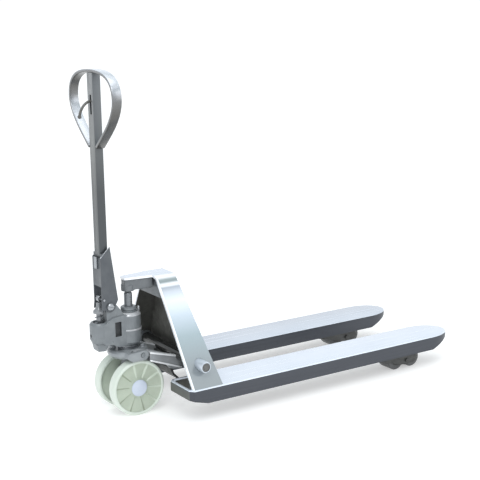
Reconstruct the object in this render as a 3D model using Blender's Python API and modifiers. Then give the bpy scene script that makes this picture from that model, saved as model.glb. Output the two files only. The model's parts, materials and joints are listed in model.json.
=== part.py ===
"""Hand pallet truck with a tandem-roller fork frame, as separate parts with real joints.

Metres, +Z up. +X points to the fork tips, -X to the operator, and the floor is z = 0.
The forks stand partly raised. Every moving part hangs from an empty on its joint's axis.
"""

import math

import bmesh
import bpy
from mathutils import Matrix, Vector

# ---------------------------------------------------------------- driving dimensions
FORK_TIP = 1.322        # steering axis to fork tip
REAR_REACH = 0.152      # steering axis to the ball on the finger lever
STEER_X = -(FORK_TIP - REAR_REACH) / 2  # puts the origin under the middle of the truck
GAP = 0.0003            # between touching parts
ROUND = 28              # sides of a large round part
SMALL = 14              # sides of a small round part

FORK_TOP = 0.121        # fork height as it stands, 36 mm above fully lowered
FORK_DEPTH = 0.055
FORK_HALF_SPREAD = 0.270
FORK_WIDTH = 0.160
FORK_WALL = 0.005
FORK_HEEL = 0.099
FORK_NOSE = 0.116       # length of the rounded nose
FORK_Y = FORK_HALF_SPREAD - FORK_WIDTH / 2

WHEEL_R = 0.100
WHEEL_OUT = 0.0785      # outer faces of the two steering wheels
WHEEL_IN = 0.0385
AXLE_R = 0.010
CAP_R = 0.030

SEAT_R = 0.074
SEAT_BOTTOM = 0.204
SEAT_TOP = 0.231
STEM_R = 0.026
TRUNNION_X = 0.014
TRUNNION_Z = 0.221
TRUNNION_R = 0.008
ARM_IN = 0.060          # inner and outer faces of the rocker's seat arms
ARM_OUT = 0.072
EYE_HALF = 0.0102       # half height of the slotted eye that rides on a trunnion
EYE_BACK = 0.004        # how far the slot runs either way from the trunnion as it stands
EYE_AHEAD = 0.0125
EYE_RIM = 0.0165
LUG_OUT = 0.090

CASTING_BOTTOM = 0.247
CYLINDER_X = 0.008
CYLINDER_R = 0.042
CYLINDER_TOP = 0.362
ROD_R = 0.0148
PLUNGER_X = -0.107
BOSS_R = 0.0345
PUMP_HALF = 0.034
BOSS_TOP = 0.342
PIVOT_X = -0.078
PIVOT_Z = 0.398
PIVOT_R = 0.008
PRESS_X = PIVOT_X - 0.022   # roller that pushes the pump plunger down
PRESS_Z = PIVOT_Z + 0.026

SHAFT_X = -0.088        # handle shaft centre line
SHAFT_DX = 0.030
SHAFT_DY = 0.040
SHAFT_BOTTOM = 0.585
HANDLE_TOP = 1.210
LOOP_HALF = 0.172
LOOP_WIDE_Z = 1.112
LOOP_FOOT_Z = 0.950
LOOP_BAND = 0.010
LOOP_DEPTH = 0.032

HEAD_TOP = 0.487
HEAD_HALF = 0.0476      # where the planes of the top and of a side plate would meet
HEAD_SPLAY = 0.594      # side plate: mm outwards for each mm down
HEAD_WALL = 0.008
HEAD_BEND = 0.024
HEAD_SEAT = 0.2305      # the head stands on a seat one gap deep, from the heel to here
CROSS_X = 0.165
CROSS_Z = 0.193
CROSS_R = 0.011
TUBE_R = 0.021
SHAFT_CAP_R = 0.020

LEVER_Z = 0.078
LEVER_LENGTH = 0.190
LEVER_X = 0.9075
LEVER_LEAN = 0.0034     # the lever's upper pin stands this far behind its pivot
ROLLER_R = 0.037
ROLLER_PITCH = 0.080
BOGIE_X = 1.093
ROLLER_HALF = 0.031
ROD_Z = 0.1058
ROCKER_PIN_DROP = 0.0275
VALVE_X = -0.058
VALVE_Z = 0.272

PAINT = {
    "stainless": ((0.74, 0.77, 0.80), 0.22, 1.0),
    "cast": ((0.23, 0.24, 0.26), 0.45, 0.6),
    "dark": ((0.05, 0.05, 0.055), 0.6, 0.3),
    "nylon": ((0.62, 0.68, 0.56), 0.4, 0.0),
    "steel": ((0.55, 0.56, 0.58), 0.25, 1.0),
    "cap": ((0.72, 0.77, 0.86), 0.35, 0.0),
    "tyre": ((0.06, 0.06, 0.065), 0.6, 0.0),
}

AXES = {"x": Vector((1, 0, 0)), "y": Vector((0, 1, 0)), "z": Vector((0, 0, 1))}


# ---------------------------------------------------------------- scene helpers
def clear_scene():
    for obj in list(bpy.data.objects):
        bpy.data.objects.remove(obj)


def collection(name):
    made = bpy.data.collections.new(name)
    bpy.context.scene.collection.children.link(made)
    return made


clear_scene()
TRUCK = collection("pallet_truck")
CUTTERS = collection("cutters")
JOINTS = {}
MATERIALS = {}


def material(key):
    if key not in MATERIALS:
        made = bpy.data.materials.new(key)
        made.use_nodes = True
        shader = made.node_tree.nodes["Principled BSDF"]
        colour, roughness, metallic = PAINT[key]
        shader.inputs["Base Color"].default_value = (*colour, 1.0)
        shader.inputs["Roughness"].default_value = roughness
        shader.inputs["Metallic"].default_value = metallic
        MATERIALS[key] = made
    return MATERIALS[key]


def joint(name, x, y, z, parent=None):
    """An empty on a joint's axis, from which the parts of that body hang."""
    empty = bpy.data.objects.new("joint_" + name, None)
    TRUCK.objects.link(empty)
    place = Vector((STEER_X + x, y, z))
    empty["place"] = place
    if parent:
        empty.parent = JOINTS[parent]
        empty.location = place - Vector(JOINTS[parent]["place"])
    else:
        empty.location = place
    JOINTS[name] = empty


def solid(name, mesh, cutter=False):
    obj = bpy.data.objects.new(name, mesh)
    (CUTTERS if cutter else TRUCK).objects.link(obj)
    if cutter:
        obj.hide_render = True
        obj.display_type = "WIRE"
    return obj


def part(obj, paint, body, smooth=True):
    """Finishes a part: its material, its shading, and its place under its joint."""
    obj.data.materials.append(material(paint))
    if smooth:
        obj.data.shade_smooth()
        obj.data.set_sharp_from_angle(angle=math.radians(35))
    obj.data.transform(Matrix.Translation(-Vector(JOINTS[body]["place"])))
    obj.parent = JOINTS[body]
    return obj


def from_bmesh(name, bm, cutter=False):
    bmesh.ops.recalc_face_normals(bm, faces=bm.faces)
    mesh = bpy.data.meshes.new(name)
    bm.to_mesh(mesh)
    bm.free()
    return solid(name, mesh, cutter)


# ---------------------------------------------------------------- shape helpers, in truck coordinates
def box(name, x, y, z, bevel=0.0, cutter=False):
    """A box over the ranges x, y and z, measured from the steering axis and the floor."""
    bm = bmesh.new()
    bmesh.ops.create_cube(bm, size=1.0)
    size = Vector((x[1] - x[0], y[1] - y[0], z[1] - z[0]))
    centre = Vector((STEER_X + (x[0] + x[1]) / 2, (y[0] + y[1]) / 2, (z[0] + z[1]) / 2))
    bmesh.ops.scale(bm, vec=size, verts=bm.verts)
    bmesh.ops.translate(bm, vec=centre, verts=bm.verts)
    if bevel:
        bmesh.ops.bevel(bm, geom=bm.edges[:], offset=bevel, segments=1, affect="EDGES")
    return from_bmesh(name, bm, cutter)


def cylinder(name, axis, x, y, z, radius, length, sides=SMALL, cutter=False, taper=1.0):
    """A cylinder centred on (x, y, z); taper is the far end's radius over the near end's."""
    bm = bmesh.new()
    bmesh.ops.create_cone(bm, cap_ends=True, segments=sides, radius1=radius,
                          radius2=radius * taper, depth=length)
    turn = AXES["z"].rotation_difference(AXES[axis]).to_matrix()
    bmesh.ops.rotate(bm, cent=(0, 0, 0), matrix=turn, verts=bm.verts)
    bmesh.ops.translate(bm, vec=(STEER_X + x, y, z), verts=bm.verts)
    return from_bmesh(name, bm, cutter)


def turned(name, axis, x, y, z, profile, sides=ROUND, flip=False, cutter=False):
    """A turned part: profile is (radius, height) down its outer side. flip turns it end for end."""
    bm = bmesh.new()
    points = [bm.verts.new((radius, 0, height)) for radius, height in profile]
    closed = profile[0][0] > 0
    for first, second in zip(points, points[1:] + (points[:1] if closed else [])):
        bm.edges.new((first, second))
    mesh = bpy.data.meshes.new(name)
    bm.to_mesh(mesh)
    bm.free()
    obj = solid(name, mesh, cutter)
    screw = obj.modifiers.new("turn", "SCREW")
    screw.steps = screw.render_steps = sides
    screw.use_merge_vertices = True
    screw.merge_threshold = 0.00005
    screw.use_normal_calculate = True
    return baked(obj, axis, x, y, z, flip)


def baked(obj, axis="z", x=-STEER_X, y=0.0, z=0.0, flip=False):
    """The object's evaluated mesh in its place, its caps welded and its modifiers or curve gone."""
    bpy.context.view_layer.update()
    graph = bpy.context.evaluated_depsgraph_get()
    mesh = bpy.data.meshes.new_from_object(obj.evaluated_get(graph))
    bm = bmesh.new()
    bm.from_mesh(mesh)
    bmesh.ops.remove_doubles(bm, verts=bm.verts, dist=0.00001)
    name, cutter = obj.name, CUTTERS in obj.users_collection
    bpy.data.objects.remove(obj)
    direction = -AXES[axis] if flip else AXES[axis]
    turn = AXES["z"].rotation_difference(direction).to_matrix()
    bmesh.ops.rotate(bm, cent=(0, 0, 0), matrix=turn, verts=bm.verts)
    bmesh.ops.translate(bm, vec=(STEER_X + x, y, z), verts=bm.verts)
    return from_bmesh(name, bm, cutter)


PLANES = {  # a flat outline's two directions, and the one it is extruded along
    "xz": Matrix(((1, 0, 0), (0, 0, -1), (0, 1, 0))),
    "xy": Matrix(((1, 0, 0), (0, 1, 0), (0, 0, 1))),
    "yz": Matrix(((0, 0, 1), (1, 0, 0), (0, 1, 0))),
}


def plate(name, plane, outlines, across, cutter=False):
    """Flat outlines (the first is the outside, the others holes) filled over the range across."""
    curve = bpy.data.curves.new(name, "CURVE")
    curve.dimensions = "2D"
    curve.fill_mode = "BOTH"
    curve.extrude = (across[1] - across[0]) / 2
    for outline in outlines:
        spline = curve.splines.new("POLY")
        spline.points.add(len(outline) - 1)
        for point, (u, v) in zip(spline.points, outline):
            point.co = (u, v, 0, 1)
        spline.use_cyclic_u = True
    obj = bpy.data.objects.new(name, curve)
    (CUTTERS if cutter else TRUCK).objects.link(obj)
    flat = baked(obj)
    middle = (across[0] + across[1]) / 2
    shift = {"xz": (STEER_X, middle, 0), "xy": (STEER_X, 0, middle), "yz": (STEER_X + middle, 0, 0)}
    flat.data.transform(Matrix.Translation(shift[plane]) @ PLANES[plane].to_4x4())
    return flat


def circle(u, v, radius, sides=SMALL):
    return arc(u, v, radius, 0, 360 * (sides - 1) / sides, sides)


def arc(u, v, radius, start, end, steps=7, squash=1.0):
    """Points on an arc from start to end degrees; squash flattens it along v."""
    angles = [math.radians(start + (end - start) * i / (steps - 1)) for i in range(steps)]
    return [(u + radius * math.cos(a), v + radius * squash * math.sin(a)) for a in angles]


def cut(obj, cutter, operation="DIFFERENCE"):
    modifier = obj.modifiers.new(cutter.name, "BOOLEAN")
    modifier.operation = operation
    modifier.object = cutter
    return obj


def join(obj, *others):
    for other in others:
        cut(obj, other, "UNION")
    return obj


def applied(obj):
    """The object with its Booleans worked into its mesh, and their cutters removed."""
    tools = [modifier.object for modifier in obj.modifiers if modifier.type == "BOOLEAN"]
    name = obj.name
    made = baked(obj)
    for tool in tools:
        bpy.data.objects.remove(tool)
    made.name = name
    return made


def sides():
    """Left (+Y) and right (-Y), as a name and a sign."""
    return (("left", 1), ("right", -1))


def span(sign, inner, outer):
    """The range in Y between two distances from the middle, on one side."""
    return tuple(sorted((sign * inner, sign * outer)))


# ---------------------------------------------------------------- joints
def make_joints():
    joint("seat", 0, 0, 0)
    joint("pump_unit", 0, 0, 0.1, "seat")
    joint("piston", CYLINDER_X, 0, CYLINDER_TOP, "pump_unit")
    joint("plunger", PLUNGER_X, 0, BOSS_TOP, "pump_unit")
    joint("handle", PIVOT_X, 0, PIVOT_Z, "pump_unit")
    joint("pressure_roller", PRESS_X, 0, PRESS_Z, "handle")
    joint("control_lever", SHAFT_X - 0.004, 0, 1.100, "handle")
    joint("release_rod", SHAFT_X, 0, 0.800, "handle")
    joint("valve_lever", VALVE_X, 0, VALVE_Z, "pump_unit")
    joint("frame", 0.2, 0, FORK_TOP, "seat")
    joint("rocker", CROSS_X, 0, CROSS_Z, "frame")
    for side, sign in sides():
        joint("wheel_" + side, 0, sign * WHEEL_OUT, WHEEL_R, "pump_unit")
        joint("push_rod_" + side, 0.5, sign * FORK_Y, ROD_Z, "frame")
        joint("roller_lever_" + side, LEVER_X, sign * FORK_Y, LEVER_Z, "frame")
        joint("bogie_" + side, BOGIE_X, sign * FORK_Y, ROLLER_R, "roller_lever_" + side)
        for end, way in (("front", 1), ("rear", -1)):
            joint(f"load_roller_{end}_{side}", BOGIE_X + way * ROLLER_PITCH / 2,
                  sign * FORK_Y, ROLLER_R, "bogie_" + side)


# ---------------------------------------------------------------- bearing seat
def make_seat():
    under = SEAT_R * 0.86
    seat = turned("bearing_seat", "z", 0, 0, 0, [
        (SEAT_R - 0.006, SEAT_TOP), (SEAT_R, SEAT_TOP - 0.006), (SEAT_R, SEAT_TOP - 0.016),
        (under, SEAT_BOTTOM), (STEM_R + 0.002, SEAT_BOTTOM), (STEM_R + 0.002, SEAT_TOP)])
    for side, sign in sides():
        lug = [(-0.040, SEAT_TOP + 0.001), (-0.046, 0.216), (-0.026, 0.2015), (0.024, 0.2015)]
        lug += arc(TRUNNION_X + 0.006, 0.220, 0.017, -45, 90, 6)
        join(seat, plate("lug_" + side, "xz", [lug], span(sign, 0.048, LUG_OUT), True))
    for side, sign in sides():
        cut(seat, box("arm_slot_" + side, (-0.024, 0.2), span(sign, ARM_IN - 0.002, ARM_OUT + 0.002),
                      (0.15, 0.3), cutter=True))
        cut(seat, cylinder("trunnion_hole_" + side, "y", TRUNNION_X, sign * 0.08, TRUNNION_Z,
                           TRUNNION_R + GAP, 0.08, SMALL, True))
    for name, x, y, radius in (("rear_boss", -0.050, 0.022, 0.0115), ("front_boss", 0.045, -0.024, 0.009)):
        join(seat, cylinder(name, "z", x, y, 0.229, radius, 0.026, 12, True))
    part(applied(seat), "cast", "seat")
    part(turned("thrust_bearing", "z", 0, 0, 0, [
        (0.034, 0.2455), (0.036, 0.2435), (0.036, 0.240), (0.033, 0.2385), (0.036, 0.237),
        (0.036, SEAT_TOP + GAP), (STEM_R + 0.002, SEAT_TOP + GAP), (STEM_R + 0.002, 0.2455)]),
        "steel", "seat")
    for side, sign in sides():
        part(cylinder("trunnion_pin_" + side, "y", TRUNNION_X, sign * 0.074, TRUNNION_Z,
                      TRUNNION_R, 0.036), "steel", "seat")


# ---------------------------------------------------------------- pump unit
def make_pump():
    body = [(-0.050, CASTING_BOTTOM), (0.000, CASTING_BOTTOM), (0.000, CYLINDER_TOP - 0.008),
            (-0.030, 0.360), (-0.066, 0.356), (-0.086, 0.348), (-0.100, BOSS_TOP - 0.006),
            (-0.112, 0.330), (-0.112, 0.272), (-0.100, 0.262), (-0.070, 0.258)]
    lug = [(-0.090, 0.300), (-0.010, 0.300), (-0.024, 0.361), (-0.034, 0.378), (-0.056, 0.406)]
    lug += arc(PIVOT_X, PIVOT_Z, 0.019, 30, 170, 7) + [(-0.089, 0.380)]
    pump = plate("pump_casting", "xz", [body], (-PUMP_HALF, PUMP_HALF))
    join(pump, plate("pivot_lug", "xz", [lug], (-0.026, 0.026), True))
    join(pump, turned("cylinder", "z", CYLINDER_X, 0, 0, [
        (0, CYLINDER_TOP), (CYLINDER_R - 0.010, CYLINDER_TOP), (CYLINDER_R, CYLINDER_TOP - 0.009),
        (CYLINDER_R, 0.303), (CYLINDER_R + 0.0015, 0.300), (CYLINDER_R + 0.0015, 0.256),
        (CYLINDER_R - 0.006, CASTING_BOTTOM), (0, CASTING_BOTTOM)], cutter=True))
    join(pump, turned("plunger_boss", "z", PLUNGER_X, 0, 0, [
        (0, BOSS_TOP), (BOSS_R - 0.006, BOSS_TOP), (BOSS_R, BOSS_TOP - 0.007), (BOSS_R, 0.282),
        (BOSS_R - 0.008, 0.266), (0, 0.266)], 24, cutter=True))
    join(pump, turned("neck", "z", 0, 0, 0, [
        (0, 0.25), (STEM_R, 0.25), (STEM_R, 0.196), (0, 0.196)], 24, cutter=True))
    for name, sign in sides():
        cut(pump, box("window_" + name, (-0.062, -0.038), span(sign, 0.020, 0.05), (0.286, 0.338),
                      cutter=True))
    cut(pump, cylinder("rod_bore", "z", CYLINDER_X, 0, 0.3265, ROD_R + 0.0005, 0.173, 20, True))
    cut(pump, cylinder("plunger_well", "z", PLUNGER_X, 0, 0.345, 0.0225, 0.11, 20, True))
    cut(pump, cylinder("pivot_hole", "y", PIVOT_X, 0, PIVOT_Z, PIVOT_R + GAP, 0.1, SMALL, True))
    cut(pump, cylinder("plug_hole", "x", -0.137, 0, 0.296, 0.0063, 0.012, 12, True))
    join(pump, cylinder("valve_stub", "y", VALVE_X, PUMP_HALF + 0.002, VALVE_Z, 0.004, 0.012, 12,
                        True))
    part(applied(pump), "cast", "pump_unit")

    part(turned("gland_nut", "z", CYLINDER_X, 0, 0, [
        (0.024, 0.381), (0.028, 0.378), (0.028, 0.371), (0.025, 0.3685), (0.028, 0.366),
        (0.028, CYLINDER_TOP + GAP), (ROD_R + 0.0008, CYLINDER_TOP + GAP), (ROD_R + 0.0008, 0.381)]),
        "cast", "pump_unit")
    valve = [(-0.128, 0.2657), (-0.122, 0.2395), (-0.094, 0.2385), (-0.084, 0.2594), (-0.1001, 0.2616),
             (-0.1047, 0.2655)]
    part(plate("valve_block", "xz", [valve], (-0.022, 0.022)), "cast", "pump_unit")
    part(turned("overload_plug", "x", -0.1315, 0, 0.296, [
        (0, 0.007), (0.004, 0.007), (0.006, 0.005), (0.006, 0), (0, 0)], 12, flip=True),
        "dark", "pump_unit")
    filler = turned("filler_screw", "z", 0.041, -0.012, 0, [
        (0, 0.378), (0.003, 0.378), (0.0045, 0.375), (0.0045, 0.366), (0.0065, 0.365),
        (0.0065, CYLINDER_TOP + GAP), (0, CYLINDER_TOP + GAP)], 10)
    part(filler, "steel", "pump_unit")
    pin = turned("handle_pivot_pin", "y", PIVOT_X, 0, PIVOT_Z, [
        (0, 0.043), (0.010, 0.043), (0.013, 0.040), (0.013, 0.0335), (PIVOT_R, 0.0335),
        (PIVOT_R, -0.0335), (0.013, -0.0335), (0.013, -0.040), (0.010, -0.043), (0, -0.043)], 16)
    cut(pin, box("pin_slot", (PIVOT_X - 0.02, PIVOT_X + 0.02), (-0.05, -0.0405),
                 (PIVOT_Z - 0.0015, PIVOT_Z + 0.0015), cutter=True))
    part(applied(pin), "steel", "pump_unit")

    yoke = turned("steering_yoke", "z", 0, 0, 0, [
        (0, 0.1957), (STEM_R, 0.1957), (STEM_R, 0.15), (0, 0.15)], 24)
    foot = [(-0.024, 0.160), (-0.030, 0.110)] + arc(0, WHEEL_R, 0.028, 170, 370, 9) + [(0.024, 0.160)]
    join(yoke, plate("yoke_foot", "xz", [foot], (-0.032, 0.032), True))
    cut(yoke, cylinder("axle_hole", "y", 0, 0, WHEEL_R, AXLE_R + GAP, 0.1, SMALL, True))
    part(applied(yoke), "cast", "pump_unit")
    part(cylinder("wheel_axle", "y", 0, 0, WHEEL_R, AXLE_R, 0.142), "steel", "pump_unit")


def make_wheels():
    for side, sign in sides():
        width = WHEEL_OUT - WHEEL_IN
        wheel = turned("steering_wheel_" + side, "y", 0, sign * WHEEL_IN, WHEEL_R, [
            (0.026, width - 0.002), (0.026, width - 0.006), (0.084, width - 0.004), (0.088, width),
            (0.096, width), (WHEEL_R, width - 0.004), (WHEEL_R, 0.004), (0.096, 0), (0.088, 0),
            (0.084, 0.008), (0.030, 0.008), (0.026, 0.0), (0.0185, 0.0), (0.0185, width - 0.002)],
            36, flip=sign < 0)
        part(wheel, "nylon", "wheel_" + side)
        part(turned("wheel_bearing_" + side, "y", 0, sign * (WHEEL_IN + 0.004), WHEEL_R, [
            (0.018, 0.028), (0.018, 0), (AXLE_R + 0.0004, 0), (AXLE_R + 0.0004, 0.028)], 18,
            flip=sign < 0), "steel", "wheel_" + side)
        dome = [(CAP_R * math.cos(a), 0.006 * math.sin(a)) for a in
                (math.radians(90 - 18 * i) for i in range(6))]
        dome[0] = (0, 0.006)
        part(turned("hub_cap_" + side, "y", 0, sign * (WHEEL_OUT - 0.0017), WHEEL_R,
                    dome + [(CAP_R - 0.006, -0.0001), (0, -0.0001)], 24, flip=sign < 0),
             "cap", "wheel_" + side)


def make_piston_and_plunger():
    part(turned("piston_rod", "z", CYLINDER_X, 0, 0, [
        (0, 0.436), (0.007, 0.435), (0.012, 0.431), (ROD_R, 0.426), (ROD_R, 0.281), (0, 0.281)], 20),
        "steel", "piston")
    part(turned("pump_plunger", "z", PLUNGER_X, 0, 0, [
        (0, 0.4115), (0.008, 0.4115), (0.0085, 0.396), (0.013, 0.388), (0.0195, 0.382),
        (0.0195, 0.374), (0.009, 0.3725), (0.009, 0.345), (0, 0.345)], 20), "steel", "plunger")
    wire, radius, turns, low, high = 0.0017, 0.0145, 4.0, 0.2935, 0.3695
    curve = bpy.data.curves.new("plunger_spring", "CURVE")
    curve.dimensions = "3D"
    curve.bevel_depth = wire
    curve.bevel_resolution = 0
    curve.use_fill_caps = True
    spline = curve.splines.new("POLY")
    count = int(turns * 12)
    spline.points.add(count)
    for i, point in enumerate(spline.points):
        angle = 2 * math.pi * turns * i / count
        height = low + wire + (high - low - 2 * wire) * i / count
        point.co = (radius * math.cos(angle), radius * math.sin(angle), height, 1)
    obj = bpy.data.objects.new("plunger_spring", curve)
    TRUCK.objects.link(obj)
    part(baked(obj, x=PLUNGER_X), "steel", "pump_unit")


# ---------------------------------------------------------------- handle
def loop_centre(steps=11):
    """Half of the hand loop's centre line, from its foot on the shaft to the top, as two curves."""
    foot = (SHAFT_DY / 2 + LOOP_BAND / 2 + 0.001, LOOP_FOOT_Z)
    wide = (LOOP_HALF - LOOP_BAND / 2, LOOP_WIDE_Z)
    top = (0.0, HANDLE_TOP - LOOP_BAND / 2)
    first = [foot, (0.080, 0.995), (0.162, 1.050), wide]
    second = [wide, (wide[0], 1.176), (0.116, top[1]), top]
    points = []
    for a, b, c, d in (first, second):
        for i in range(steps):
            t = i / steps
            points.append(tuple(
                (1 - t) ** 3 * a[k] + 3 * t * (1 - t) ** 2 * b[k] + 3 * t * t * (1 - t) * c[k]
                + t ** 3 * d[k] for k in (0, 1)))
    return points + [top]


def loop_outline():
    """The band's outline: the centre line moved out by half the band, and back by half of it."""
    half = loop_centre()
    whole = half + [(-y, z) for y, z in reversed(half[:-1])]
    outer, inner = [], []
    for i, (y, z) in enumerate(whole):
        before, after = whole[max(i - 1, 0)], whole[min(i + 1, len(whole) - 1)]
        along = Vector((after[0] - before[0], after[1] - before[1])).normalized()
        normal = Vector((along.y, -along.x)) * LOOP_BAND / 2
        outer.append((y + normal.x, z + normal.y))
        inner.append((y - normal.x, z - normal.y))
    return outer + inner[::-1]


def make_handle():
    x = (SHAFT_X - SHAFT_DX / 2, SHAFT_X + SHAFT_DX / 2)
    shaft = box("handle_shaft", x, (-SHAFT_DY / 2, SHAFT_DY / 2),
                (SHAFT_BOTTOM - 0.015, HANDLE_TOP - LOOP_BAND - 0.0015))
    cut(shaft, box("shaft_bore", (x[0] + 0.003, x[1] - 0.003),
                   (-SHAFT_DY / 2 + 0.003, SHAFT_DY / 2 - 0.003), (0.5, 1.19), cutter=True))
    cut(shaft, box("lever_slot", (x[0] - 0.01, x[0] + 0.01), (-0.006, 0.006), (1.06, 1.125),
                   cutter=True))
    part(applied(shaft), "cast", "handle", smooth=False)
    loop = plate("handle_loop", "yz", [loop_outline()],
                 (SHAFT_X - LOOP_DEPTH / 2, SHAFT_X + LOOP_DEPTH / 2))
    cut(loop, box("shaft_room", (x[0] - 0.01, x[1] + 0.01),
                  (-SHAFT_DY / 2 - GAP, SHAFT_DY / 2 + GAP), (0.9, 1.15), cutter=True))
    part(applied(loop), "stainless", "handle")

    back, wall = x[0] - 0.0043, 0.004
    cheek = [(back, 0.572), (back, 0.410), (-0.110, 0.386)]
    cheek += arc(PIVOT_X, PIVOT_Z, 0.021, 215, 360, 7)
    cheek += [(-0.046, 0.418), (-0.0705, 0.609)]
    hole = circle(PIVOT_X, PIVOT_Z, PIVOT_R + GAP)
    roller_hole = circle(PRESS_X, PRESS_Z, 0.0047, 12)
    base = plate("handle_base", "xz", [cheek, hole, roller_hole],
                 (0.0283, 0.0283 + wall))
    other = plate("far_cheek", "xz", [cheek, hole, roller_hole], (-0.0283 - wall, -0.0283), True)
    web = box("web", (back, back + wall), (-0.0295, 0.0295), (0.470, 0.5705), cutter=True)
    join(base, other, web)
    for side, sign in sides():
        join(base, box("spacer_" + side, x, span(sign, SHAFT_DY / 2 + GAP, 0.030), (0.5735, 0.5865),
                       cutter=True))
    part(applied(base), "cast", "handle", smooth=False)
    part(box("cable_clip", (back - 0.0053, back - GAP), (-0.010, 0.010), (0.532, 0.574), 0.001),
         "steel", "handle", smooth=False)
    part(cylinder("roller_pin", "y", PRESS_X, 0, PRESS_Z, 0.0041, 0.0696, 12),
         "steel", "handle")
    part(turned("pressure_roller", "y", PRESS_X, -0.008, PRESS_Z, [
        (0.0110, 0.016), (0.0120, 0.015), (0.0120, 0.001), (0.0110, 0), (0.0047, 0),
        (0.0047, 0.016)], 18), "steel", "pressure_roller")


def make_release():
    """The finger lever in the loop, the rod down the shaft, and the pump's release lever."""
    centre = [(SHAFT_X + 0.004, 1.100), (-0.103, 1.104), (-0.122, 1.096), (-0.138, 1.076),
              (-0.145, 1.056)]
    curve = bpy.data.curves.new("control_lever", "CURVE")
    curve.dimensions = "3D"
    curve.bevel_depth = 0.0045
    curve.bevel_resolution = 1
    curve.use_fill_caps = True
    spline = curve.splines.new("BEZIER")
    spline.bezier_points.add(len(centre) - 1)
    for point, (x, z) in zip(spline.bezier_points, centre):
        point.co = (x, 0, z)
        point.handle_left_type = point.handle_right_type = "AUTO"
    curve.resolution_u = 3
    obj = bpy.data.objects.new("control_lever", curve)
    TRUCK.objects.link(obj)
    lever = baked(obj, x=0)
    ball = bmesh.new()
    bmesh.ops.create_uvsphere(ball, u_segments=12, v_segments=8, radius=0.0068)
    bmesh.ops.translate(ball, vec=(STEER_X - 0.145, 0, 1.054), verts=ball.verts)
    join(lever, from_bmesh("lever_ball", ball, True),
         cylinder("lever_eye", "y", SHAFT_X - 0.004, 0, 1.1005, 0.008, 0.010, 12, True))
    cut(lever, cylinder("eye_hole", "y", SHAFT_X - 0.004, 0, 1.1005, 0.0034, 0.03, 10, True))
    part(applied(lever), "dark", "control_lever")
    part(cylinder("lever_pin", "y", SHAFT_X - 0.004, 0, 1.1005, 0.003, 0.033, 10), "steel",
         "handle")
    part(cylinder("release_rod", "z", SHAFT_X, 0, 0.800, 0.003, 0.520, 10), "steel", "release_rod")
    lever = arc(VALVE_X, VALVE_Z, 0.010, 90, -70, 6) + [(VALVE_X - 0.048, VALVE_Z - 0.022)]
    lever += [(VALVE_X - 0.052, VALVE_Z - 0.014), (VALVE_X - 0.012, VALVE_Z + 0.008)]
    part(plate("valve_lever", "xz", [lever, circle(VALVE_X, VALVE_Z, 0.004 + GAP, 12)],
               (PUMP_HALF + GAP, PUMP_HALF + 0.0055)), "steel", "valve_lever", smooth=False)


# ---------------------------------------------------------------- fork frame
def side_y(z):
    """Distance from the middle to the outer surface of a side plate at height z."""
    return HEAD_HALF + (HEAD_TOP - z) * HEAD_SPLAY


def rear_x(z):
    return 0.095 + (0.456 - z) * 0.045


def front_x(z):
    return 0.176 + (0.449 - z) * 0.164


def make_forks():
    skirt = FORK_TOP - FORK_DEPTH
    for side, sign in sides():
        inner, outer = FORK_Y - FORK_WIDTH / 2, FORK_HALF_SPREAD
        nose_x, half = FORK_TIP - FORK_NOSE, FORK_WIDTH / 2

        def outline(inset):
            """The fork seen from above: square heel, long sides, and a half-ellipse nose."""
            nose = [(nose_x + (FORK_NOSE - inset) * math.sin(a), (half - inset) * math.cos(a))
                    for a in (math.radians(180 * i / 12) for i in range(13))]
            heel = FORK_HEEL + inset
            corner = 0.014
            return [(heel + corner, half - inset)] + nose + [
                (heel + corner, inset - half), (heel, inset - half + corner),
                (heel, half - inset - corner)]

        def lifted(inset):
            return [(x, sign * FORK_Y + y) for x, y in outline(inset)]

        fork = plate("fork_" + side, "xy", [lifted(0)], (skirt, FORK_TOP))
        hollow = plate("hollow_" + side, "xy", [lifted(FORK_WALL)], (0, FORK_TOP - FORK_WALL), True)
        cut(fork, hollow)
        nose = [(nose_x, skirt), (FORK_TIP + 0.01, FORK_TOP - 0.008), (FORK_TIP + 0.01, 0),
                (nose_x, 0)]
        heel = [(FORK_HEEL - 0.01, skirt + 0.021), (0.166, skirt), (0.166, 0),
                (FORK_HEEL - 0.01, 0)]
        for name, wedge in (("nose", nose), ("heel", heel)):
            cut(fork, plate(f"{name}_bevel_{side}", "xz", [wedge],
                            span(sign, inner - 0.01, outer + 0.01), True))
        cut(fork, box("head_seat_" + side, (FORK_HEEL - 0.01, HEAD_SEAT),
                      span(sign, inner - 0.01, outer + 0.01), (FORK_TOP - GAP, FORK_TOP + 0.01),
                      cutter=True))
        cut(fork, box("heel_opening_" + side, (FORK_HEEL + 0.008, 0.205),
                      span(sign, FORK_Y - 0.066, FORK_Y + 0.066), (FORK_TOP - 0.01, FORK_TOP + 0.01),
                      cutter=True))
        part(applied(fork), "stainless", "frame", smooth=False)
        part(cylinder("roller_lever_pin_" + side, "y", LEVER_X, sign * FORK_Y, LEVER_Z, 0.0055,
                      FORK_WIDTH - 2 * (FORK_WALL + GAP), 12), "steel", "frame")


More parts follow.
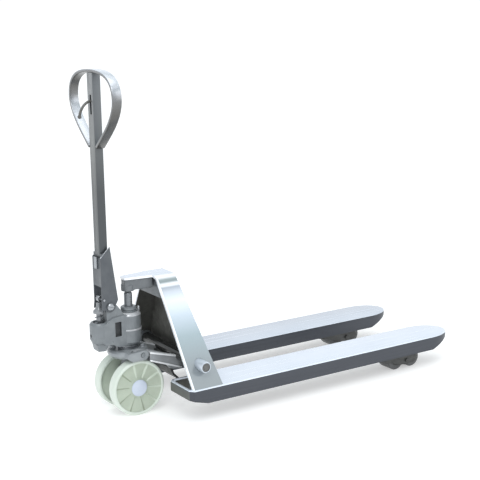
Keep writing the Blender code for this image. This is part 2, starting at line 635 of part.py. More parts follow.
def make_head():
    """One bent sheet: the top with its tongue, and the two splayed side plates."""
    bend = math.pi / 2 - math.atan(HEAD_SPLAY)
    reach = HEAD_BEND * math.tan(bend / 2)
    flat = HEAD_HALF - reach
    foot = FORK_TOP
    section = [(side_y(foot), foot)]
    for i in range(6):
        a = bend * (1 - i / 5)
        section.append((flat + HEAD_BEND * math.sin(a), HEAD_TOP - HEAD_BEND * (1 - math.cos(a))))
    section += [(-y, z) for y, z in reversed(section)]
    bm = bmesh.new()
    rows = []
    for y, z in section:
        rear = rear_x(z) if z < HEAD_TOP - 0.001 else 0.088
        front = front_x(z) if z < HEAD_TOP - 0.001 else 0.168
        rows.append((bm.verts.new((STEER_X + rear, y, z)), bm.verts.new((STEER_X + front, y, z))))
    for low, high in zip(rows, rows[1:]):
        bm.faces.new((low[0], high[0], high[1], low[1]))
    tip = [bm.verts.new((STEER_X + x, y, HEAD_TOP))
           for x, y in ((-0.005, 0.021), (-0.013, 0.014), (-0.013, -0.014), (-0.005, -0.021))]
    top = [row for row in rows if abs(row[0].co.z - HEAD_TOP) < 1e-6]
    bm.faces.new((top[0][0], *tip, top[-1][0]))
    bmesh.ops.recalc_face_normals(bm, faces=bm.faces)
    shell = from_bmesh("head_shell", bm)
    thick = shell.modifiers.new("sheet", "SOLIDIFY")
    thick.thickness = HEAD_WALL
    thick.offset = -1.0 if max(shell.data.polygons, key=lambda f: f.center.z).normal.z > 0 else 1.0
    thick.use_even_offset = True
    shell = baked(shell)
    cut(shell, box("foot_trim", (0.0, 0.3), (-0.4, 0.4), (0.0, foot), cutter=True))
    cut(shell, cylinder("cross_hole", "y", CROSS_X, 0, CROSS_Z, SHAFT_CAP_R + 0.0005, 0.7, 22, True))
    part(applied(shell), "stainless", "frame", smooth=False)

    inside = HEAD_WALL * math.hypot(1, HEAD_SPLAY) + 0.0008
    low, high = FORK_TOP + GAP, HEAD_TOP - HEAD_WALL - 0.010
    front = [(side_y(low) - inside, low), (side_y(high) - inside, high)]
    front += [(-y, z) for y, z in reversed(front)]
    wall = plate("front_plate", "yz", [front], (-0.003, 0.003))
    lean = Matrix.Identity(4)
    lean[0][2] = -0.164
    wall.data.transform(Matrix.Translation((front_x(0) - 0.012, 0, 0)) @ lean)
    part(wall, "dark", "frame", smooth=False)
    top = HEAD_TOP - HEAD_WALL - GAP
    rear = [(side_y(0.408) - inside, 0.408), (side_y(0.455) - inside, 0.455),
            (0.026, top), (-0.026, top), (inside - side_y(0.455), 0.455),
            (inside - side_y(0.408), 0.408)]
    part(plate("rear_stiffener", "yz", [rear], (0.100, 0.106)), "cast", "frame", smooth=False)
    tongue = [(-0.010, -0.013), (-0.010, 0.013), (-0.002, 0.019), (0.092, 0.028), (0.092, -0.028),
              (-0.002, -0.019)]
    bracket = plate("tongue_bracket", "xy", [tongue], (0.4405, top))
    join(bracket, cylinder("socket_boss", "z", CYLINDER_X, 0, 0.4480, 0.024, 0.022, 20, True))
    cut(bracket, cylinder("rod_socket", "z", CYLINDER_X, 0, 0.4375, 0.0155, 0.005, 20, True))
    part(applied(bracket), "cast", "frame")

    part(cylinder("cross_shaft", "y", CROSS_X, 0, CROSS_Z, CROSS_R, 0.4094), "steel", "frame")
    for side, sign in sides():
        cap = turned("shaft_cap_" + side, "y", CROSS_X, sign * 0.205, CROSS_Z, [
            (0, 0.058), (SHAFT_CAP_R - 0.003, 0.058), (SHAFT_CAP_R, 0.055), (SHAFT_CAP_R, 0),
            (0, 0)], 22, flip=sign < 0)
        part(cap, "stainless", "frame")


def make_rocker():
    drop = math.atan2(TRUNNION_Z - CROSS_Z, CROSS_X - TRUNNION_X)
    along = Vector((-math.cos(drop), math.sin(drop)))
    start = math.degrees(math.atan2(along.y, along.x))
    eye = Vector((TRUNNION_X, TRUNNION_Z))
    near, far = eye - along * EYE_BACK, eye + along * EYE_AHEAD
    slot = arc(near.x, near.y, EYE_HALF, start - 90, start - 270, 7)
    slot += arc(far.x, far.y, EYE_HALF, start + 90, start - 90, 7)
    bore = TUBE_R + 2 * GAP
    arm = arc(far.x, far.y, EYE_RIM, start + 90, start - 90, 7) + [(0.044, 0.2315), (0.1425, 0.1935)]
    arm += arc(CROSS_X, CROSS_Z, bore, 186, 352, 13)
    arm += [(0.192, 0.180), (0.188, 0.150), (0.172, 0.136), (0.128, 0.146), (0.1035, 0.178),
            (0.0905, 0.190), (0.078, 0.1985), (0.066, 0.2050), (0.054, 0.2095), (0.043, 0.2125),
            (0.0235, 0.2080)]
    for side, sign in sides():
        blank = plate("rocker_arm_" + side, "xz", [arm, slot], span(sign, ARM_IN, ARM_OUT))
        part(blank, "cast", "rocker", smooth=False)
        lever = arc(CROSS_X, CROSS_Z, 0.028, 215, -35, 12)
        lever += arc(CROSS_X, CROSS_Z - 0.024, 0.012, 0, -180, 7)
        lever = plate("rocker_lever_" + side, "xz", [lever, circle(CROSS_X, CROSS_Z, bore, 22)],
                      span(sign, FORK_Y - 0.0205, FORK_Y - 0.0115))
        join(lever, cylinder("rocker_pin_" + side, "y", CROSS_X, sign * (FORK_Y - 0.005),
                             CROSS_Z - ROCKER_PIN_DROP, 0.0045, 0.020, 10, True))
        part(applied(lever), "cast", "rocker", smooth=False)
    web = [(0.1345, 0.186), (0.1345, 0.140), (0.146, 0.114), (0.166, 0.094), (0.170, 0.100),
           (0.152, 0.119), (0.1425, 0.142), (0.1425, 0.186)]
    part(plate("rocker_web", "xz", [web], (GAP - ARM_IN, ARM_IN - GAP)), "dark", "rocker",
         smooth=False)
    part(turned("rocker_tube", "y", CROSS_X, -0.181, CROSS_Z, [
        (TUBE_R, 0.362), (TUBE_R, 0), (CROSS_R + 0.0004, 0), (CROSS_R + 0.0004, 0.362)], 22),
        "dark", "rocker")


def make_running_gear():
    for side, sign in sides():
        middle = sign * FORK_Y
        rod = box("push_rod_" + side, (0.140, LEVER_X - LEVER_LEAN), (middle - 0.007, middle + 0.007),
                  (ROD_Z - 0.0075, ROD_Z + 0.0065))
        post = plate("rod_post_" + side, "xz", [[(0.140, 0.100), (0.190, 0.100), (0.183, 0.1795),
                                                 (0.147, 0.1795)]],
                     (middle - 0.0055, middle + 0.0055), True)
        slot = plate("post_slot_" + side, "xz", [
            arc(CROSS_X, CROSS_Z - ROCKER_PIN_DROP + 0.0035, 0.0058, 0, 180, 6)
            + arc(CROSS_X, CROSS_Z - ROCKER_PIN_DROP - 0.003, 0.0058, 180, 360, 6)],
            (middle - 0.05, middle + 0.05), True)
        upper = LEVER_X - LEVER_LEAN
        eye = cylinder("rod_eye_" + side, "y", upper, middle, ROD_Z - 0.0005, 0.0098, 0.014, 14, True)
        join(rod, post, eye)
        cut(rod, slot)
        cut(rod, cylinder("rod_eye_hole_" + side, "y", upper, middle, ROD_Z - 0.0005, 0.0060, 0.05,
                          14, True))
        part(applied(rod), "cast", "push_rod_" + side, smooth=False)

        pin = Vector((LEVER_X, LEVER_Z))
        axle = Vector((BOGIE_X, ROLLER_R))
        lean = math.degrees(math.atan2(axle.y - pin.y, axle.x - pin.x))
        lever = arc(upper, ROD_Z, 0.0085, 200, 60, 5)
        lever += arc(pin.x, pin.y, 0.015, 60, lean + 90, 3) + [(0.990, 0.076)]
        lever += arc(axle.x, axle.y, 0.019, lean + 90, lean - 90, 8)
        lever += arc(pin.x, pin.y, 0.013, lean - 90, -190, 5)
        holes = [circle(pin.x, pin.y, 0.0058, 12), circle(axle.x, axle.y, 0.0073, 12)]
        piece = plate("roller_lever_" + side, "xz", [lever, *holes], (middle + 0.0445, middle + 0.0505))
        twin = plate("lever_twin_" + side, "xz", [lever, *holes],
                     (middle - 0.0505, middle - 0.0445), True)
        bridge = box("lever_bridge_" + side, (0.945, 1.004), (middle - 0.046, middle + 0.046),
                     (0.062, 0.070), cutter=True)
        cross_pin = cylinder("cross_pin_" + side, "y", upper, middle, ROD_Z, 0.0042, 0.094, 10, True)
        join(piece, twin, bridge, cross_pin)
        part(applied(piece), "dark", "roller_lever_" + side, smooth=False)
        link = arc(BOGIE_X + ROLLER_PITCH / 2, ROLLER_R, 0.020, 90, -90, 6, 0.9)
        link += arc(BOGIE_X - ROLLER_PITCH / 2, ROLLER_R, 0.020, -90, -270, 6, 0.9)
        bogie = plate("bogie_" + side, "xz", [link], (middle + 0.0375, middle + 0.0435))
        twin = plate("bogie_twin_" + side, "xz", [link], (middle - 0.0435, middle - 0.0375), True)
        join(bogie, twin)
        for way in (1, -1):
            join(bogie, cylinder(f"stub_{side}_{way}", "y", BOGIE_X, middle + way * 0.048, ROLLER_R,
                                 0.007, 0.014, 12, True))
        for end, way in (("front", 1), ("rear", -1)):
            x = BOGIE_X + way * ROLLER_PITCH / 2
            join(bogie, cylinder(f"roller_axle_{end}_{side}", "y", x, middle, ROLLER_R, 0.008,
                                 0.080, 12, True))
            roller = turned(f"load_roller_{end}_{side}", "y", x, middle - ROLLER_HALF - 0.004,
                            ROLLER_R, [
                (0.033, 0.070), (ROLLER_R, 0.066), (ROLLER_R, 0.004), (0.033, 0), (0.0085, 0),
                (0.0085, 0.070)], 24)
            part(roller, "tyre", f"load_roller_{end}_{side}")
        part(applied(bogie), "dark", "bogie_" + side, smooth=False)


make_joints()
make_seat()
make_pump()
make_wheels()
make_piston_and_plunger()
make_handle()
make_release()
make_forks()
make_head()
make_rocker()
make_running_gear()
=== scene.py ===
"""Looks for the hand pallet truck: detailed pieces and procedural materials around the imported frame.

Metres, +Z up, +X to the fork tips. Places are worked out from the frame's own boxes.
"""

import json
import math

import bmesh
import bpy
from mathutils import Matrix, Vector

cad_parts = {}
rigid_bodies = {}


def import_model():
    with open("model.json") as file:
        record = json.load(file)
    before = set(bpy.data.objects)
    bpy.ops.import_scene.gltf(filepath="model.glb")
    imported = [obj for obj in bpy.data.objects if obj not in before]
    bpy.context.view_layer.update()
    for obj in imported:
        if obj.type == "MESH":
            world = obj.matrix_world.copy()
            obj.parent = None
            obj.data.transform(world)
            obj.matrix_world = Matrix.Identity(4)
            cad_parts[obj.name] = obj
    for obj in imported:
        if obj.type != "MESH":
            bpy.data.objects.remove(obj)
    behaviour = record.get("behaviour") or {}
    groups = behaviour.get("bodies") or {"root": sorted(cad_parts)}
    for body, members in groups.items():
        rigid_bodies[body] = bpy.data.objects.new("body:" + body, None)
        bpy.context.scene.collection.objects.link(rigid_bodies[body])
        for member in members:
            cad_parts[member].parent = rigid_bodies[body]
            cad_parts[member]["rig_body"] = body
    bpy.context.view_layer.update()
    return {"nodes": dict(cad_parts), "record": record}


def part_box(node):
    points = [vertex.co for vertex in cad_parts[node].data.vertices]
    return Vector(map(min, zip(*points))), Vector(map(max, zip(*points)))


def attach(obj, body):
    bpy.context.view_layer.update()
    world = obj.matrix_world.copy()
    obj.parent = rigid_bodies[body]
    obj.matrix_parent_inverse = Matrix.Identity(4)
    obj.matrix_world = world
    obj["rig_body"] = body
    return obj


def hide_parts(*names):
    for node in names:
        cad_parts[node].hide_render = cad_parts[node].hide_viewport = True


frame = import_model()

SIDES = (("left", 1), ("right", -1))
WHEEL_LOW, WHEEL_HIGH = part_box("steering_wheel_right")
STEER_X = (WHEEL_LOW.x + WHEEL_HIGH.x) / 2
WHEEL_R = (WHEEL_HIGH.z - WHEEL_LOW.z) / 2
SLOTS = 4               # most materials on one piece


# ---------------------------------------------------------------- camera, lights, floor
CAMERA_PLACE = Vector((STEER_X - 1.6592, -3.3381, 1.3921))
CAMERA_TURNS = (32.648, 11.901, -0.968)     # degrees: yaw from +Y to +X, down from level, roll
CAMERA_LENS, CAMERA_SENSOR = 81.78, 36      # mm


def make_camera():
    yaw, down, roll = (math.radians(angle) for angle in CAMERA_TURNS)
    ahead = Vector((math.sin(yaw) * math.cos(down), math.cos(yaw) * math.cos(down), -math.sin(down)))
    right = Vector((math.cos(yaw), -math.sin(yaw), 0))
    up = right.cross(ahead)
    right, up = (right * math.cos(roll) + up * math.sin(roll),
                 up * math.cos(roll) - right * math.sin(roll))
    data = bpy.data.cameras.new("camera")
    data.sensor_width = CAMERA_SENSOR
    data.lens = CAMERA_LENS
    camera = bpy.data.objects.new("camera", data)
    camera.matrix_world = Matrix((right, up, -ahead)).transposed().to_4x4()
    camera.location = CAMERA_PLACE
    bpy.context.scene.collection.objects.link(camera)
    bpy.context.scene.camera = camera


SKY = (  # sine of the height above the horizon, and the colour there
    (0.00, (1.06, 1.06, 1.06)), (0.06, (1.02, 1.03, 1.05)), (0.30, (0.92, 0.95, 1.00)),
    (0.47, (0.80, 0.85, 0.88)), (0.60, (0.52, 0.58, 0.60)), (0.70, (0.62, 0.68, 0.70)),
    (0.76, (1.25, 1.28, 1.32)), (0.81, (0.45, 0.52, 0.53)), (0.87, (1.15, 1.18, 1.2)),
    (1.00, (1.45, 1.48, 1.5)))


def make_world():
    world = bpy.data.worlds.new("studio")
    bpy.context.scene.world = world
    world.use_nodes = True
    nodes, links = world.node_tree.nodes, world.node_tree.links
    nodes.clear()
    place = nodes.new("ShaderNodeTexCoord")
    split = nodes.new("ShaderNodeSeparateXYZ")
    ramp = nodes.new("ShaderNodeValToRGB")
    back = nodes.new("ShaderNodeBackground")
    out = nodes.new("ShaderNodeOutputWorld")
    stops = ramp.color_ramp.elements
    while len(stops) < len(SKY):
        stops.new(0.5)
    for stop, (height, colour) in zip(stops, SKY):
        stop.position = height
        stop.color = (*colour, 1)
    links.new(place.outputs["Generated"], split.inputs[0])
    links.new(split.outputs["Z"], ramp.inputs[0])
    links.new(ramp.outputs[0], back.inputs["Color"])
    links.new(back.outputs[0], out.inputs[0])


LIT_POINT = Vector((0, 0, 0.3))     # what the lights are turned to


def area_light(name, place, size, power):
    data = bpy.data.lights.new(name, "AREA")
    data.size = size
    data.energy = power
    lamp = bpy.data.objects.new(name, data)
    lamp.location = place
    lamp.rotation_euler = (LIT_POINT - Vector(place)).to_track_quat("-Z", "Y").to_euler()
    bpy.context.scene.collection.objects.link(lamp)


# ---------------------------------------------------------------- materials
def linear(*rgb):
    """An 8-bit display colour as linear light."""
    return tuple((c / 255 / 12.92) if c <= 10 else ((c / 255 + 0.055) / 1.055) ** 2.4 for c in rgb)


class Shade:
    """A Principled material and the few node steps the materials below share."""

    def __init__(self, name, roughness, metallic=0.0, **more):
        self.material = bpy.data.materials.new(name)
        self.material.use_nodes = True
        self.nodes = self.material.node_tree.nodes
        self.links = self.material.node_tree.links
        self.shader = self.nodes["Principled BSDF"]
        self.shader.inputs["Roughness"].default_value = roughness
        self.shader.inputs["Metallic"].default_value = metallic
        for socket, value in more.items():
            self.shader.inputs[socket.replace("_", " ")].default_value = value

    def noise(self, scale, stretch=(1, 1, 1), detail=3.0, rough=0.55):
        """Noise in the object's axes; a small stretch along an axis draws it out that way."""
        place = self.nodes.new("ShaderNodeTexCoord")
        mapping = self.nodes.new("ShaderNodeMapping")
        mapping.inputs["Scale"].default_value = stretch
        noise = self.nodes.new("ShaderNodeTexNoise")
        noise.inputs["Scale"].default_value = scale
        noise.inputs["Detail"].default_value = detail
        noise.inputs["Roughness"].default_value = rough
        self.links.new(place.outputs["Object"], mapping.inputs["Vector"])
        self.links.new(mapping.outputs[0], noise.inputs["Vector"])
        return noise.outputs[0]

    def ramp(self, value, *stops):
        """A colour ramp; each stop is its place and a colour, or one level in a tuple of its own."""
        ramp = self.nodes.new("ShaderNodeValToRGB")
        elements = ramp.color_ramp.elements
        while len(elements) < len(stops):
            elements.new(0.5)
        for element, (place, colour) in zip(elements, stops):
            element.position = place
            element.color = (*colour, 1) if len(colour) == 3 else (*colour * 3, 1)
        self.links.new(value, ramp.inputs[0])
        return ramp.outputs[0]

    def along(self, axis, low, high):
        """0 to 1 between two places on an axis."""
        place = self.nodes.new("ShaderNodeTexCoord")
        split = self.nodes.new("ShaderNodeSeparateXYZ")
        scale = self.nodes.new("ShaderNodeMapRange")
        scale.inputs["From Min"].default_value = low
        scale.inputs["From Max"].default_value = high
        self.links.new(place.outputs["Object"], split.inputs[0])
        self.links.new(split.outputs["XYZ".index(axis)], scale.inputs["Value"])
        return scale.outputs[0]

    def facing(self, axis):
        """0 where the surface faces down the axis, 0.5 across it and 1 up it, in the object's axes."""
        place = self.nodes.new("ShaderNodeTexCoord")
        split = self.nodes.new("ShaderNodeSeparateXYZ")
        scale = self.nodes.new("ShaderNodeMapRange")
        scale.inputs["From Min"].default_value = -1.0
        self.links.new(place.outputs["Normal"], split.inputs[0])
        self.links.new(split.outputs["XYZ".index(axis)], scale.inputs["Value"])
        return scale.outputs[0]

    def multiplied(self, first, second):
        mix = self.nodes.new("ShaderNodeMix")
        mix.data_type = "RGBA"
        mix.blend_type = "MULTIPLY"
        mix.inputs["Factor"].default_value = 1.0
        self.links.new(first, mix.inputs["A"])
        self.links.new(second, mix.inputs["B"])
        return mix.outputs["Result"]

    def colour(self, value):
        self.links.new(value, self.shader.inputs["Base Color"])

    def roughness(self, value):
        self.links.new(value, self.shader.inputs["Roughness"])

    def bump(self, value, strength, distance):
        bump = self.nodes.new("ShaderNodeBump")
        bump.inputs["Strength"].default_value = strength
        bump.inputs["Distance"].default_value = distance
        self.links.new(value, bump.inputs["Height"])
        if self.shader.inputs["Normal"].is_linked:
            self.links.new(self.shader.inputs["Normal"].links[0].from_socket, bump.inputs["Normal"])
        self.links.new(bump.outputs[0], self.shader.inputs["Normal"])
        return self


def brushed(name, light, dark, roughness, metallic, stretch, grain):
    """Sheet metal with a fine grain along the direction that stretch leaves small."""
    shade = Shade(name, roughness, metallic)
    streaks = shade.noise(1.0, stretch, 4.0, 0.7)
    clouds = shade.noise(6.0, detail=2.0)
    shade.colour(shade.multiplied(
        shade.ramp(streaks, (0.25, dark), (0.75, light)),
        shade.ramp(clouds, (0.3, (0.93, 0.94, 0.95)), (0.7, (1, 1, 1)))))
    shade.roughness(shade.ramp(streaks, (0.2, (roughness * 0.75,)), (0.8, (roughness * 1.3,))))
    return shade.bump(streaks, grain, 0.0002)


def cast(name, low, high, roughness, grain=0.35, metallic=0.15):
    """Enamelled casting: soft mottling over a fine sandy surface."""
    shade = Shade(name, roughness, metallic)
    shade.colour(shade.ramp(shade.noise(28.0, detail=4.0), (0.3, low), (0.7, high)))
    shade.roughness(shade.ramp(shade.noise(60.0), (0.3, (roughness * 0.8,)), (0.7, (roughness * 1.2,))))
    shade.bump(shade.noise(900.0, detail=2.0), grain, 0.0003)
    return shade.bump(shade.noise(90.0, detail=2.0), grain * 0.6, 0.0006)


ALONG_X = (1.5, 260, 260)       # stretches for noise: the direction of the grain
ALONG_Z = (260, 260, 1.5)
ACROSS_Y = (20, 400, 20)
PLATE_FOOT, PLATE_TOP = 0.12, 0.49      # heights over which the side plates' painted reflection bands run
SHAFT_FOOT, SHAFT_TOP = 0.58, 1.2
HALF_WIDTH = 0.27               # of the whole truck


def make_materials():
    made = {
        # painted light: the stainless tops are a near-white lit copy of the sheet
        "top_painted_light": brushed("top_painted_light", linear(236, 243, 252), linear(229, 237, 247), 0.24, 0.35,
                                ALONG_X, 0.04),
        # painted highlight: near white for the head's cut edges and rear bands and the cheeks' top edges
        "painted_highlight_edge": brushed("painted_highlight_edge", linear(250, 251, 254), linear(236, 240, 246), 0.2, 0.2,
                               ALONG_X, 0.05),
        # painted shade: the fork skirts are a dark copy of the stainless
        "skirt": brushed("skirt", linear(76, 79, 86), linear(64, 67, 73), 0.38, 0.35, ALONG_X, 0.15),
        # painted shade: the forks' heel faces and the shaft caps' recessed faces
        "shaded_steel": brushed("shaded_steel", linear(112, 112, 110), linear(98, 98, 97), 0.4, 0.35,
                             ALONG_Z, 0.15),
        "wall_front": brushed("wall_front", linear(150, 158, 163), linear(134, 142, 147), 0.3, 0.4, ALONG_Z,
                              0.06),
        # painted shade: dark inside the head and the forks and on the front plate's rear face
        "inside": cast("inside", linear(72, 72, 68), linear(90, 90, 86), 0.65, 0.2, 0.0),
        "black_metal": cast("black_metal", linear(52, 53, 52), linear(74, 75, 74), 0.42, 0.3, 0.2),
        "casting": cast("casting", linear(112, 117, 121), linear(126, 131, 134), 0.34, 0.3),
        "casting_dark": cast("casting_dark", linear(96, 100, 104), linear(112, 116, 119), 0.38, 0.3),
        # painted highlight: a lighter casting colour for the rings round the pump's cylinder
        "casting_highlight": cast("casting_highlight", linear(168, 170, 173), linear(188, 190, 193), 0.3, 0.2,
                              0.3),
        "cap_side": brushed("cap_side", linear(212, 220, 228), linear(190, 198, 207), 0.2, 0.4,
                            (60, 3, 60), 0.05),
        # painted highlight: near white for the rocker arms' flanges and the rocker tube's collars
        "painted_highlight": cast("painted_highlight", linear(232, 235, 238), linear(246, 248, 250), 0.3, 0.1, 0.1),
        "seat_paint": cast("seat_paint", linear(134, 139, 143), linear(150, 155, 158), 0.34, 0.3),
        "plunger_paint": cast("plunger_paint", linear(126, 129, 132), linear(142, 145, 148), 0.3, 0.15,
                              0.3),
        "tube_paint": cast("tube_paint", linear(50, 51, 50), linear(62, 63, 62), 0.16, 0.1, 0.3),
        # painted light and shade on the wheels: lighter nylon on lit faces, darker on the creases' shaded
        # side
        "nylon_painted_light": cast("nylon_painted_light", linear(188, 199, 184), linear(196, 206, 192), 0.34, 0.1, 0.0),
        "crease_shade": cast("crease_shade", linear(140, 150, 130), linear(152, 162, 143), 0.4, 0.1, 0.0),
        "arm_web": cast("arm_web", linear(146, 149, 152), linear(160, 163, 166), 0.36, 0.2),
        "shadow": cast("shadow", linear(58, 60, 62), linear(70, 73, 75), 0.6, 0.2, 0.0),
        "handle_paint": cast("handle_paint", linear(76, 80, 85), linear(87, 91, 95), 0.36, 0.12),
        "machined": brushed("machined", linear(176, 179, 182), linear(140, 143, 147), 0.24, 0.85,
                            (260, 260, 60), 0.08),
        "rod_steel": brushed("rod_steel", linear(130, 134, 138), linear(112, 116, 120), 0.24, 0.4,
                             (30, 30, 500), 0.05),
        "dark_lever": cast("dark_lever", linear(82, 81, 78), linear(98, 96, 92), 0.4, 0.15),
        "roller_dark": cast("roller_dark", linear(80, 81, 82), linear(100, 102, 103), 0.38, 0.25, 0.1),
    }
    # painted shade: the tops darken towards the far side, +Y
    top = made["top_painted_light"]
    level = top.shader.inputs["Base Color"].links[0].from_socket
    top.colour(top.multiplied(
        level,
        top.ramp(top.along("Y", -HALF_WIDTH, HALF_WIDTH),
                 (0.0, (0.97, 0.97, 0.98)), (0.55, (0.93, 0.93, 0.94)), (1.0, (0.70, 0.70, 0.71)))))

    # painted reflections: light and dark bands up the side plates, brightest at the bend, stand for the
    # studio mirrored in the sheet
    plate = Shade("plate_painted_reflections", 0.2, 0.4)
    plate.colour(plate.multiplied(
        plate.ramp(plate.along("Z", PLATE_FOOT, PLATE_TOP),
                   (0.0, linear(144, 151, 154)), (0.2, linear(146, 153, 157)),
                   (0.45, linear(160, 175, 181)), (0.62, linear(196, 208, 219)),
                   (0.76, linear(232, 240, 248)), (0.84, linear(206, 213, 223)),
                   (0.875, linear(178, 186, 196)), (0.893, linear(250, 252, 255)),
                   (0.905, linear(250, 252, 255)), (0.925, linear(150, 162, 165)),
                   (0.945, linear(165, 176, 178)), (0.965, linear(250, 252, 255)),
                   (1.0, linear(238, 243, 250))),
        plate.ramp(plate.noise(1.0, ALONG_Z, 4.0), (0.3, (0.975, 0.98, 0.98)), (0.7, (1, 1, 1)))))
    plate.bump(plate.noise(1.0, ALONG_Z, 4.0), 0.04, 0.0001)
    made["plate_painted_reflections"] = plate

    # painted light and shade: the loop is lighter where it faces up and darker where it faces down
    band = Shade("loop_band", 0.24, 0.75)
    band.colour(band.multiplied(
        band.ramp(band.facing("Z"),
                  (0.0, linear(92, 91, 89)), (0.25, linear(100, 99, 97)),
                  (0.45, linear(120, 120, 120)), (0.56, linear(146, 148, 151)),
                  (0.72, linear(206, 210, 216)), (0.86, linear(228, 233, 240)),
                  (1.0, linear(238, 243, 250))),
        band.ramp(band.noise(1.0, ACROSS_Y), (0.3, (0.96, 0.96, 0.96)), (0.7, (1, 1, 1)))))
    band.bump(band.noise(1.0, ACROSS_Y), 0.03, 0.0001)
    made["loop_band"] = band

    # the shaft's paint, darker towards the foot; the sides facing ±Y are painted darker as shade
    shaft = Shade("shaft_paint_and_shade", 0.34, 0.35)
    shaft.colour(shaft.multiplied(
        shaft.ramp(shaft.along("Z", SHAFT_FOOT, SHAFT_TOP),
                   (0.0, linear(92, 95, 97)), (0.35, linear(94, 96, 97)),
                   (0.62, linear(124, 126, 126)), (1.0, linear(136, 139, 141))),
        shaft.ramp(shaft.facing("Y"), (0.1, (0.62, 0.64, 0.66)), (0.4, (1, 1, 1)),
                   (0.6, (1, 1, 1)), (0.9, (0.62, 0.64, 0.66)))))
    shaft.bump(shaft.noise(1.0, ALONG_Z, 4.0), 0.1, 0.0002)
    made["shaft_paint_and_shade"] = shaft

    nylon = Shade("nylon", 0.36, 0.0, Subsurface_Weight=0.12, Subsurface_Scale=0.01)
    nylon.shader.inputs["Subsurface Radius"].default_value = (0.8, 1.0, 0.7)
    nylon.colour(nylon.ramp(nylon.noise(14.0, detail=3.0), (0.3, linear(166, 177, 160)),
                            (0.7, linear(184, 194, 178))))
    nylon.bump(nylon.noise(500.0, detail=2.0), 0.08, 0.0002)
    made["nylon"] = nylon

    # painted highlight: the wheels' lips and treads are a lighter nylon
    lip = Shade("lip_painted_highlight", 0.3)
    lip.colour(lip.ramp(lip.noise(20.0), (0.3, linear(204, 214, 203)), (0.7, linear(216, 224, 215))))
    lip.bump(lip.noise(500.0), 0.06, 0.0002)
    made["lip_painted_highlight"] = lip

    cap = Shade("hub_cap", 0.32)
    cap.colour(cap.ramp(cap.noise(30.0), (0.3, linear(186, 196, 212)), (0.7, linear(198, 207, 222))))
    cap.bump(cap.noise(300.0), 0.08, 0.0003)
    made["hub_cap"] = cap

    floor = Shade("floor", 0.9, Emission_Strength=0.42, Emission_Color=(1, 1, 1, 1))
    floor.colour(floor.ramp(floor.noise(2.0), (0.3, (0.72, 0.72, 0.72)), (0.7, (0.74, 0.74, 0.74))))
    made["floor"] = floor
    return {name: shade.material for name, shade in made.items()}


make_camera()
make_world()
MATERIAL = make_materials()


# ---------------------------------------------------------------- shape helpers
def piece(name, mesh, body, slot, nodes, *materials):
    """Puts a finished mesh in the scene, on its body and in place of its CAD nodes."""
    obj = bpy.data.objects.new(name, mesh)
    bpy.context.scene.collection.objects.link(obj)
    kinds = [min(face.material_index, len(materials) - 1) for face in mesh.polygons]
    mesh.materials.clear()
    for material in materials:
        mesh.materials.append(MATERIAL[material])
    mesh.polygons.foreach_set("material_index", kinds)
    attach(obj, body)
    if nodes:
        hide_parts(*nodes)
    return obj


def body_of(node):
    return frame["nodes"][node]["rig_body"]


def slot_of(node):
    return next(part["material_slot"] for part in frame["record"]["subparts"] if part["node"] == node)


def cutter(name, bm):
    """A closed shape to cut with, as an object."""
    mesh = bpy.data.meshes.new(name)
    bm.to_mesh(mesh)
    bm.free()
    obj = bpy.data.objects.new(name, mesh)
    bpy.context.scene.collection.objects.link(obj)
    return obj


def prism(outline, y):
    """An outline of (x, z) points made solid over a range of y."""
    bm = bmesh.new()
    near, far = ([bm.verts.new((x, side, z)) for x, z in outline] for side in y)
    bm.faces.new(near)
    bm.faces.new(far)
    for i in range(len(outline)):
        j = (i + 1) % len(outline)
        bm.faces.new((near[i], near[j], far[j], far[i]))
    bmesh.ops.recalc_face_normals(bm, faces=bm.faces)
    return bm


def gathered(*parts):
    """Several closed shapes in one mesh."""
    whole = parts[0]
    for part in parts[1:]:
        mesh = bpy.data.meshes.new("gathered")
        part.to_mesh(mesh)
        part.free()
        whole.from_mesh(mesh)
        bpy.data.meshes.remove(mesh)
    return whole


def flat_copy(node):
    """A CAD node's shape with its flat faces whole again."""
    bm = bmesh.new()
    bm.from_mesh(frame["nodes"][node].data)
    bmesh.ops.remove_doubles(bm, verts=bm.verts, dist=0.00002)
    bmesh.ops.dissolve_limit(bm, angle_limit=math.radians(0.6), verts=bm.verts, edges=bm.edges)
    for face in bm.faces:
        face.material_index = 0
    return bm


def evaluated(bm, modifiers, sharp=40):
    """The mesh of bm after its modifiers, smooth but for edges sharper than sharp degrees."""
    mesh = bpy.data.meshes.new("shape")
    bm.to_mesh(mesh)
    bm.free()
    for _ in range(SLOTS):
        mesh.materials.append(None)
    obj = bpy.data.objects.new("shape", mesh)
    bpy.context.scene.collection.objects.link(obj)
    for kind, settings in modifiers:
        modifier = obj.modifiers.new(kind, kind)
        for key, value in settings.items():
            setattr(modifier, key, value)
    graph = bpy.context.evaluated_depsgraph_get()
    made = bpy.data.meshes.new_from_object(obj.evaluated_get(graph))
    bpy.data.objects.remove(obj)
    made.shade_smooth()
    if sharp < 180:
        made.set_sharp_from_angle(angle=math.radians(sharp))
    return made


def bevel(width, segments, angle=30):
    return ("BEVEL", {"width": width, "segments": segments, "limit_method": "ANGLE",
                      "angle_limit": math.radians(angle), "use_clamp_overlap": True})


def edged(node, name, material, width, segments):
    """The CAD node with small rounds along its edges."""
    mesh = evaluated(flat_copy(node), [bevel(width, segments)])
    return piece(name, mesh, body_of(node), slot_of(node), [node], material)


def moulded(node, name, material, voxel, rounds):
    """The CAD node with the soft fillets of a casting."""
    mesh = evaluated(flat_copy(node), [
        ("REMESH", {"mode": "VOXEL", "voxel_size": voxel}),
        ("SMOOTH", {"factor": 0.5, "iterations": rounds}),
        ("DECIMATE", {"ratio": 0.5})], 180)
    return piece(name, mesh, body_of(node), slot_of(node), [node], material)


